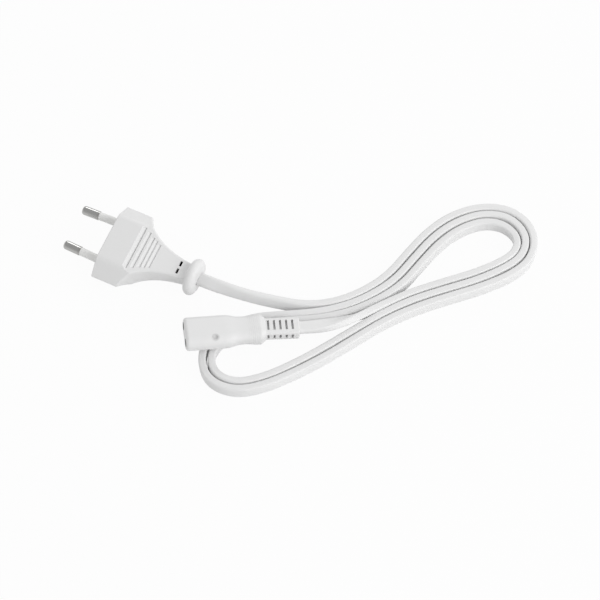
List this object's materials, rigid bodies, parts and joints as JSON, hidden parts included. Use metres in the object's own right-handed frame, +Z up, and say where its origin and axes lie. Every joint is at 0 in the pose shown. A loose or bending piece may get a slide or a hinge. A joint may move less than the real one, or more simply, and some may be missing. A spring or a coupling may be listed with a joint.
{
  "type": "power cord",
  "caption": "White mains lead with a flat sleeved round-pin plug, a flat twin cord laid in long loops, and a figure-8 appliance connector with slotted strain relief.",
  "frame": {"origin": "bottom centre of the box round plug and connector, on the surface that the cord lies on", "axes": "+X to the right along the looped cord, +Y away from the viewer, +Z up"},
  "size_m": [0.2027, 0.0963, 0.018],
  "materials": {
    "white_pvc": "satin moulded",
    "cord_pvc": "satin extruded",
    "hard_plastic": "satin",
    "sleeve_plastic": "smooth",
    "nickel": "bright nickel plate",
    "contact_brass": "plain",
    "brown_core": "smooth",
    "blue_core": "smooth"
  },
  "bodies": {
    "root": {"plug_body": "white_pvc", "connector_body": "white_pvc", "cord": "cord_pvc", "pin_carrier": "hard_plastic", "contact_block": "hard_plastic", "left_pin": "nickel", "right_pin": "nickel", "left_pin_sleeve": "sleeve_plastic", "right_pin_sleeve": "sleeve_plastic", "left_contact": "contact_brass", "right_contact": "contact_brass", "plug_brown_core": "brown_core", "connector_brown_core": "brown_core", "plug_blue_core": "blue_core", "connector_blue_core": "blue_core"}
  },
  "joints": []
}
